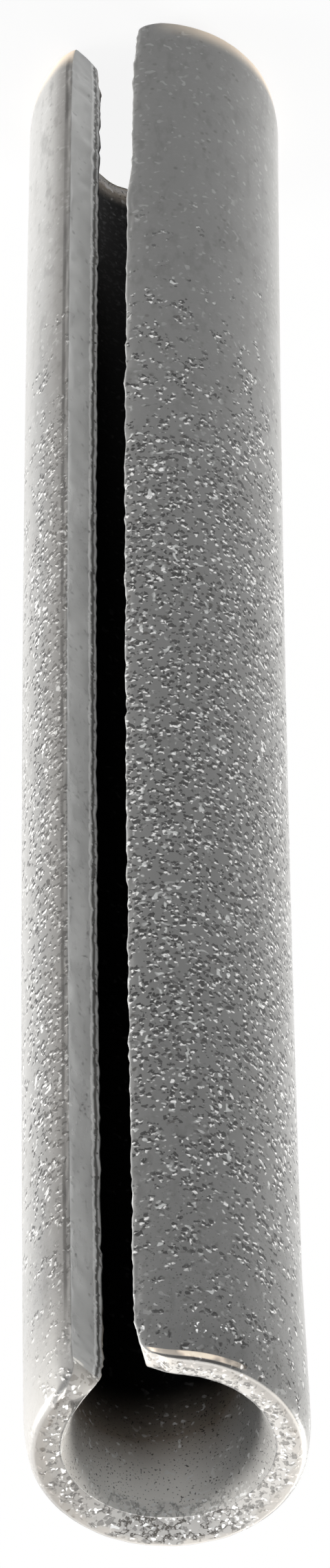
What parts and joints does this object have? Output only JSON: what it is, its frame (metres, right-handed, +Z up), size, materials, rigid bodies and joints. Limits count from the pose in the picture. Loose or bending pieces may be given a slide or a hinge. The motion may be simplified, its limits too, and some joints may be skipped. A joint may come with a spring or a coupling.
{
  "type": "slotted spring pin",
  "caption": "Roll pin: a strip of spring steel rolled into a tube with an open slot along it, crowned lead-in ends and a flared bore; springs tight in a drilled hole.",
  "frame": {"origin": "middle of the lower end, on the floor that the pin stands on", "axes": "Z runs up along the pin's axis, with the end nearest the picture's camera on top; -Y points out through the middle of the slot; X is across"},
  "size_m": [0.0066, 0.0065, 0.0508],
  "materials": {
    "steel": "matt grey, finely pitted, with bright specks on the end faces"
  },
  "bodies": {
    "root": {"roll_pin": "steel"}
  },
  "joints": []
}
